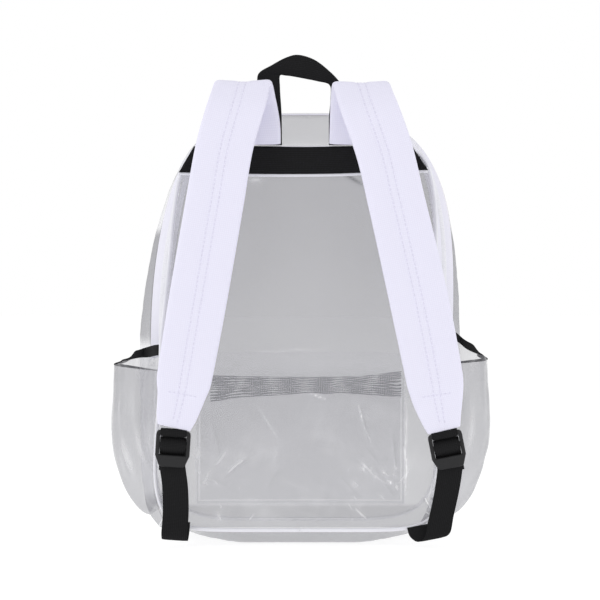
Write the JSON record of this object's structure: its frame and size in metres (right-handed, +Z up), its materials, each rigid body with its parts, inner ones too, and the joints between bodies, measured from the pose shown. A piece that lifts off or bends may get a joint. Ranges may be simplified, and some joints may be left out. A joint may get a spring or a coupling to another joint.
{
  "type": "clear backpack",
  "caption": "Clear film backpack with padded shoulder straps, ladder-lock buckles, webbing grab handle, side pockets and a front pocket.",
  "frame": {"origin": "middle of the flat on the bottom film that the bag stands on", "axes": "+Z up the bag, -Y towards the wearer's back, +X to the right as seen facing the straps"},
  "size_m": [0.3931, 0.2217, 0.492],
  "materials": {
    "clear_film": "clear PVC film, glossy",
    "zip_tape": "white woven zip tape",
    "zip_slider": "plated zinc",
    "seam_binding": "white binding tape",
    "webbing": "black woven webbing",
    "strap_cloth": "white woven cloth over foam",
    "buckle": "moulded black acetal",
    "mesh": "grey knitted mesh"
  },
  "bodies": {
    "root": {"back_panel": "clear_film", "front_panel": "clear_film", "gusset_rear_strip": "clear_film", "gusset_front_strip": "clear_film", "bottom_gusset": "clear_film", "side_pocket_left": "clear_film", "side_pocket_right": "clear_film", "front_pocket": "clear_film", "zip_tape": "zip_tape", "zip_slider": "zip_slider", "back_seam_binding": "seam_binding", "front_seam_binding": "seam_binding", "back_yoke_band": "webbing", "shoulder_strap_left": "strap_cloth", "shoulder_strap_right": "strap_cloth", "buckle_left": "buckle", "buckle_right": "buckle", "lower_webbing_left": "webbing", "lower_webbing_right": "webbing", "pocket_binding_left": "webbing", "pocket_binding_right": "webbing", "grab_handle": "webbing", "front_pocket_mesh": "mesh"}
  },
  "joints": []
}
